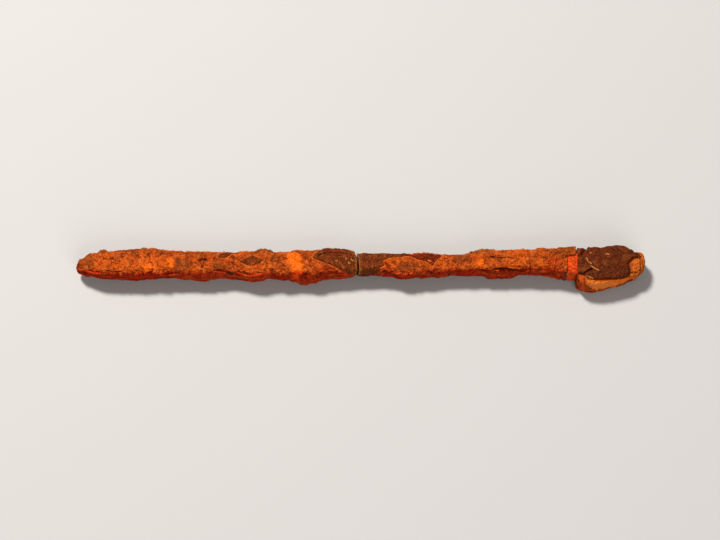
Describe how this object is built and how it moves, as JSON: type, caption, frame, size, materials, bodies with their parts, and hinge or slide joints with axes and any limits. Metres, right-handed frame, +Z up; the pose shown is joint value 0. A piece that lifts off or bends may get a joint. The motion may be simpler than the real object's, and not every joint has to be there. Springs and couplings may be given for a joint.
{
  "type": "rail spike",
  "caption": "Corroded hook-head rail spike lying on its side, broken across the shank: iron core, rust crust and loose scales as separate pieces.",
  "frame": {"origin": "middle of the spike's footprint, on the surface that it lies on", "axes": "+X along the spike from the point towards the head; the hook projects towards -Y; +Z up"},
  "size_m": [0.2032, 0.0152, 0.0104],
  "materials": {
    "iron_core": "matte",
    "point_rust": "matte",
    "shank_rust": "matte",
    "head_rust": "matte",
    "striking_rust": "matte",
    "dark_scale": "satin",
    "head_scale": "satin",
    "olive_nodule": "matte",
    "red_blister": "matte"
  },
  "bodies": {
    "head_length": {"head_core": "iron_core", "shank_crust": "shank_rust", "head_crust": "head_rust", "striking_face_layer": "striking_rust", "scale_right_of_break": "dark_scale", "scale_lens_shank": "dark_scale", "head_cheek_scale": "head_scale", "head_hook_scale": "head_scale", "head_corner_scale": "head_scale", "flake_back_of_shank": "olive_nodule", "blister_front_shank": "red_blister", "blister_front_flap": "red_blister"},
    "point_length": {"point_core": "iron_core", "point_crust": "point_rust", "scale_on_point": "dark_scale", "scale_lens_back": "dark_scale", "scale_lens_middle": "dark_scale", "scale_left_of_break": "dark_scale", "nodule_back_of_point": "olive_nodule", "nodule_back_of_taper": "olive_nodule", "nodule_front_knob": "olive_nodule", "flake_back_of_lens": "olive_nodule", "blister_front_foot": "red_blister"}
  },
  "joints": [
    {"name": "break_slide", "type": "slide", "parent": "head_length", "child": "point_length", "axis": [-1, 0, 0], "range_m": [0, 0.05]}
  ]
}
